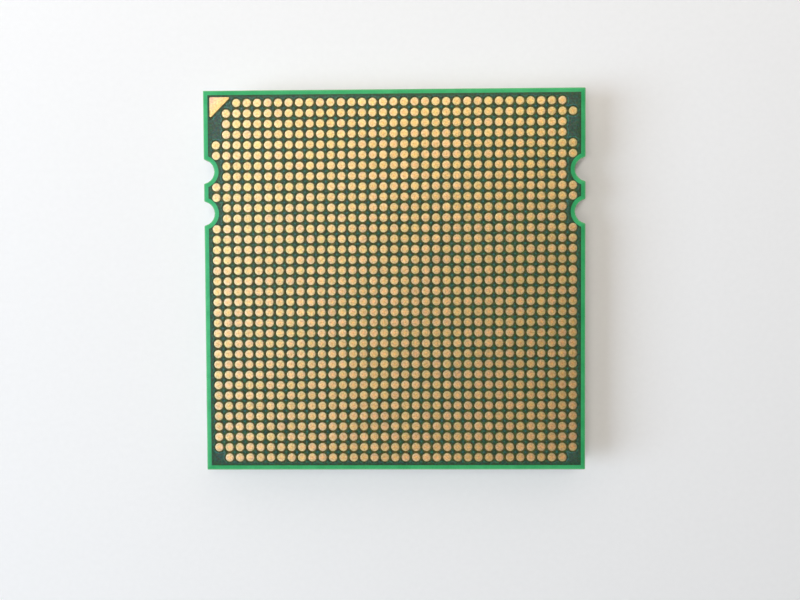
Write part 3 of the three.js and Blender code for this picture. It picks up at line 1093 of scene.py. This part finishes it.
# Position of the lens over the contact face's middle, and its turns from looking straight down.
CAMERA_PLACE = (2.27, 0.63, 88.51)
CAMERA_TURNS = (-1.736, 1.089, -0.293)
FOCAL_LENGTH = 37.88
SENSOR_WIDTH = 36.0
PAPER_ALBEDO = 0.92


def build_camera():
    camera = bpy.data.cameras.new("camera")
    camera.lens = FOCAL_LENGTH
    camera.sensor_width = SENSOR_WIDTH
    camera.clip_start = 1 * MM
    holder = bpy.data.objects.new("camera", camera)
    x, y, z = CAMERA_PLACE
    holder.location = Vector((x, y, LANDS_TOP + z)) * MM
    holder.rotation_euler = [math.radians(turn) for turn in CAMERA_TURNS]
    bpy.context.scene.collection.objects.link(holder)
    bpy.context.scene.camera = holder


def build_light(name, azimuth, elevation, distance, size, share, colour, matte=True, gloss=True):
    """An area light aimed at the object, which lights the paper there by its share of white."""
    light = bpy.data.lights.new(name, "AREA")
    light.shape = "RECTANGLE"
    light.size, light.size_y = size
    light.color = colour
    turn, rise = math.radians(azimuth), math.radians(elevation)
    direction = Vector((
        math.cos(rise) * math.cos(turn),
        math.cos(rise) * math.sin(turn),
        math.sin(rise),
    ))
    light.energy = math.pi**2 * share * distance**2 / math.sin(rise) / PAPER_ALBEDO
    holder = bpy.data.objects.new(name, light)
    holder.location = direction * distance
    holder.rotation_euler = (-direction).to_track_quat("-Z", "Y").to_euler()
    holder.visible_diffuse = matte
    holder.visible_glossy = gloss
    bpy.context.scene.collection.objects.link(holder)


def build_lights():
    """Three lights for the paper and the mask, and panels that only show in the metal."""
    build_light(
        "overhead", 140, 83.4, 0.437, (0.336, 0.04), 0.44, (1.0, 0.945, 0.88), gloss=False
    )
    build_light("window", 190, 37.5, 0.483, (0.223, 0.319), 0.365, (0.72, 0.85, 1.0))
    build_light("far_lamp", 105, 41.7, 0.15, (0.373, 0.18), 0.388, (1.0, 0.9, 0.81))
    panel = (0.12, 0.12)
    build_light("far_panel", 80, 45, 0.15, panel, 0.39, (0.9, 1.0, 0.78), matte=False)
    build_light("left_panel", 175, 45, 0.15, panel, 0.46, (0.45, 0.7, 1.0), matte=False)
    build_light("corner_panel", 141, 76, 0.3, (0.05, 0.05), 0.07, (1.0, 0.92, 0.75), matte=False)
    build_light("near_panel", 270, 35, 0.15, panel, 0.27, (1.0, 0.9, 0.75), matte=False)


def build_world():
    """A dim room: brighter near the horizon, so that upright faces have something to reflect."""
    world = bpy.data.worlds.new("room")
    world.use_nodes = True
    tree = world.node_tree
    place = tree.nodes.new("ShaderNodeTexCoord").outputs["Generated"]
    split = tree.nodes.new("ShaderNodeSeparateXYZ")
    ramp = tree.nodes.new("ShaderNodeValToRGB")
    background = tree.nodes["Background"]
    ramp.color_ramp.elements[0].color = (0.7, 0.7, 0.7, 1)
    ramp.color_ramp.elements[1].color = (0.02, 0.02, 0.02, 1)
    ramp.color_ramp.elements[1].position = 0.3
    tree.links.new(place, split.inputs[0])
    tree.links.new(split.outputs["Z"], ramp.inputs["Fac"])
    tree.links.new(ramp.outputs["Color"], background.inputs["Color"])
    bpy.context.scene.world = world


def build_floor():
    """The paper that the object lies on; it belongs to the stage."""
    reach = FLOOR_REACH
    mesh = bpy.data.meshes.new("floor")
    corners = [(-reach, -reach), (reach, -reach), (reach, reach), (-reach, reach)]
    mesh.from_pydata([(x * MM, y * MM, -FLOOR_GAP * MM) for x, y in corners], [], [(0, 1, 2, 3)])
    mesh.materials.append(paper_material())
    floor = bpy.data.objects.new("floor", mesh)
    bpy.context.scene.collection.objects.link(floor)


# ---- Building ------------------------------------------------------------------------------

build_camera()
build_lights()
build_world()
build_floor()
bpy.context.scene.view_settings.view_transform = "Standard"

land_gold = land_material()
marker_gold = marker_material()
copper_mask = copper_mask_material()
laminate_mask = laminate_mask_material()
nickel = nickel_material()
solder = metal_material("solder", (0.66, 0.67, 0.68, 1), (0.55, 0.56, 0.57, 1), 0.4, 0.5)
tin = metal_material("tinned_ends", (0.72, 0.72, 0.70, 1), (0.60, 0.60, 0.58, 1), 0.35, 0.3)
copper = metal_material("copper_foil", (0.80, 0.46, 0.31, 1), (0.66, 0.36, 0.24, 1), 0.35, 0.8)
core = laminate_material("core_laminate", srgb(168, 176, 104), srgb(112, 124, 66), 0.12)
resin = laminate_material("buildup_resin", srgb(84, 84, 50), srgb(54, 56, 32), 0.05)
silicone = dull_material("adhesive", srgb(52, 52, 56), srgb(34, 34, 38), 0.6, 0.8)
epoxy = dull_material("underfill", srgb(40, 52, 70), srgb(26, 34, 48), 0.3, 0.6)
silicon = dull_material("silicon", srgb(98, 102, 112), srgb(78, 82, 92), 0.15, 3)
ceramic = dull_material("capacitor_ceramic", srgb(158, 128, 98), srgb(132, 104, 78), 0.5, 0.3)

build_lands(land_gold)
build_land_side_mask(copper_mask, laminate_mask)
build_die_side_mask(copper_mask, laminate_mask)
build_markers(marker_gold)
build_lid(nickel)
build_bead(silicone)
build_capacitors(ceramic, tin)
finish_nodes({
    "thermal_interface_solder": solder,
    "silicon_die": silicon,
    "solder_bump_layer": solder,
    "die_underfill": epoxy,
    "buildup_resin_die_side": resin,
    "power_plane_copper": copper,
    "board_core": core,
    "ground_plane_copper": copper,
    "buildup_resin_land_side": resin,
})
